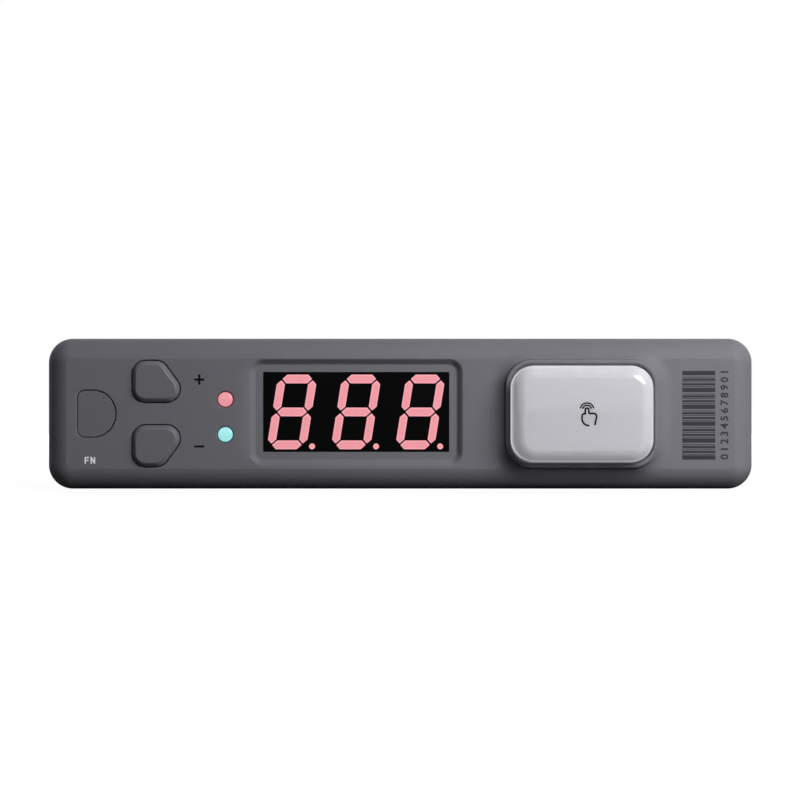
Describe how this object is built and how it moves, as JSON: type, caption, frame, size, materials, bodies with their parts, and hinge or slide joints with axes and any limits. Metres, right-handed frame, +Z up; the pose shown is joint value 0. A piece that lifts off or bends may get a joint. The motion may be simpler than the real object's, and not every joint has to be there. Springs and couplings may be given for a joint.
{
  "type": "pick-to-light display",
  "caption": "Slim shelf-edge pick-to-light module: digital readout, setting keys, signal lights and a large lit confirm button, with rear snap hooks and sprung rail contacts.",
  "frame": {"origin": "middle of the flat rear face, which lies against the shelf rail", "axes": "+Y out of the rear face towards the rail (the front looks along -Y), +X to the right of the front along the length, +Z up"},
  "size_m": [0.14, 0.0308, 0.0298],
  "materials": {
    "shell_plastic": "fine moulded texture",
    "key_plastic": "fine moulded texture",
    "cap_plastic": "glossy translucent white",
    "carrier_plastic": "matt natural white",
    "readout_black": "smooth black",
    "bar_light": "lit pink-red diffuser",
    "red_lens": "lit pink-red lens",
    "cyan_lens": "lit cyan lens",
    "board_laminate": "green solder mask",
    "black_plastic": "moulded black",
    "red_plastic": "moulded red",
    "lamp_white": "white lamp case",
    "ferrite": "dark ferrite",
    "steel": "zinc-plated steel",
    "bare_aluminium": "drawn can",
    "gold_plate": "gold-plated brass"
  },
  "bodies": {
    "housing": {"front_cover": "shell_plastic", "rear_cover": "shell_plastic", "case_screws": "steel", "main_board": "board_laminate", "board_screws": "steel", "display_body": "readout_black", "display_segments": "bar_light", "display_points": "bar_light", "display_pins": "steel", "confirm_collar": "shell_plastic", "confirm_springs": "steel", "confirm_switch": "black_plastic", "button_leds": "lamp_white", "plus_switch": "black_plastic", "minus_switch": "black_plastic", "fn_switch": "black_plastic", "red_lens": "red_lens", "cyan_lens": "cyan_lens", "indicator_leds": "lamp_white", "microcontroller": "black_plastic", "display_driver": "black_plastic", "bus_transceiver": "black_plastic", "voltage_regulator": "black_plastic", "inductor": "ferrite", "capacitors": "bare_aluminium", "crystal": "bare_aluminium", "contact_block": "black_plastic", "contact_barrels": "gold_plate", "contact_spring_1": "steel", "contact_spring_2": "steel", "contact_spring_3": "steel", "contact_spring_4": "steel"},
    "confirm_push": {"confirm_cap": "cap_plastic", "confirm_carrier": "carrier_plastic", "confirm_switch_stem": "red_plastic"},
    "plus_key": {"plus_button": "key_plastic", "plus_switch_stem": "black_plastic"},
    "minus_key": {"minus_button": "key_plastic", "minus_switch_stem": "black_plastic"},
    "fn_key": {"fn_button": "key_plastic", "fn_switch_stem": "black_plastic"},
    "rail_contact_1": {"contact_pin_1": "gold_plate"},
    "rail_contact_2": {"contact_pin_2": "gold_plate"},
    "rail_contact_3": {"contact_pin_3": "gold_plate"},
    "rail_contact_4": {"contact_pin_4": "gold_plate"}
  },
  "joints": [
    {"name": "confirm_press", "type": "slide", "parent": "housing", "child": "confirm_push", "axis": [0, 1, 0], "range_m": [0, 0.001], "stiffness_N_per_m": 1500, "springref_m": -0.0006, "deforming": ["confirm_springs"]},
    {"name": "plus_press", "type": "slide", "parent": "housing", "child": "plus_key", "axis": [0, 1, 0], "range_m": [0, 0.0003], "stiffness_N_per_m": 3000, "springref_m": -0.0002},
    {"name": "minus_press", "type": "slide", "parent": "housing", "child": "minus_key", "axis": [0, 1, 0], "range_m": [0, 0.0003], "stiffness_N_per_m": 3000, "springref_m": -0.0002},
    {"name": "fn_press", "type": "slide", "parent": "housing", "child": "fn_key", "axis": [0, 1, 0], "range_m": [0, 0.0003], "stiffness_N_per_m": 3000, "springref_m": -0.0002},
    {"name": "contact_1_press", "type": "slide", "parent": "housing", "child": "rail_contact_1", "axis": [0, -1, 0], "range_m": [0, 0.001], "stiffness_N_per_m": 300, "springref_m": -0.0008, "deforming": ["contact_spring_1"]},
    {"name": "contact_2_press", "type": "slide", "parent": "housing", "child": "rail_contact_2", "axis": [0, -1, 0], "range_m": [0, 0.001], "stiffness_N_per_m": 300, "springref_m": -0.0008, "deforming": ["contact_spring_2"]},
    {"name": "contact_3_press", "type": "slide", "parent": "housing", "child": "rail_contact_3", "axis": [0, -1, 0], "range_m": [0, 0.001], "stiffness_N_per_m": 300, "springref_m": -0.0008, "deforming": ["contact_spring_3"]},
    {"name": "contact_4_press", "type": "slide", "parent": "housing", "child": "rail_contact_4", "axis": [0, -1, 0], "range_m": [0, 0.001], "stiffness_N_per_m": 300, "springref_m": -0.0008, "deforming": ["contact_spring_4"]}
  ]
}
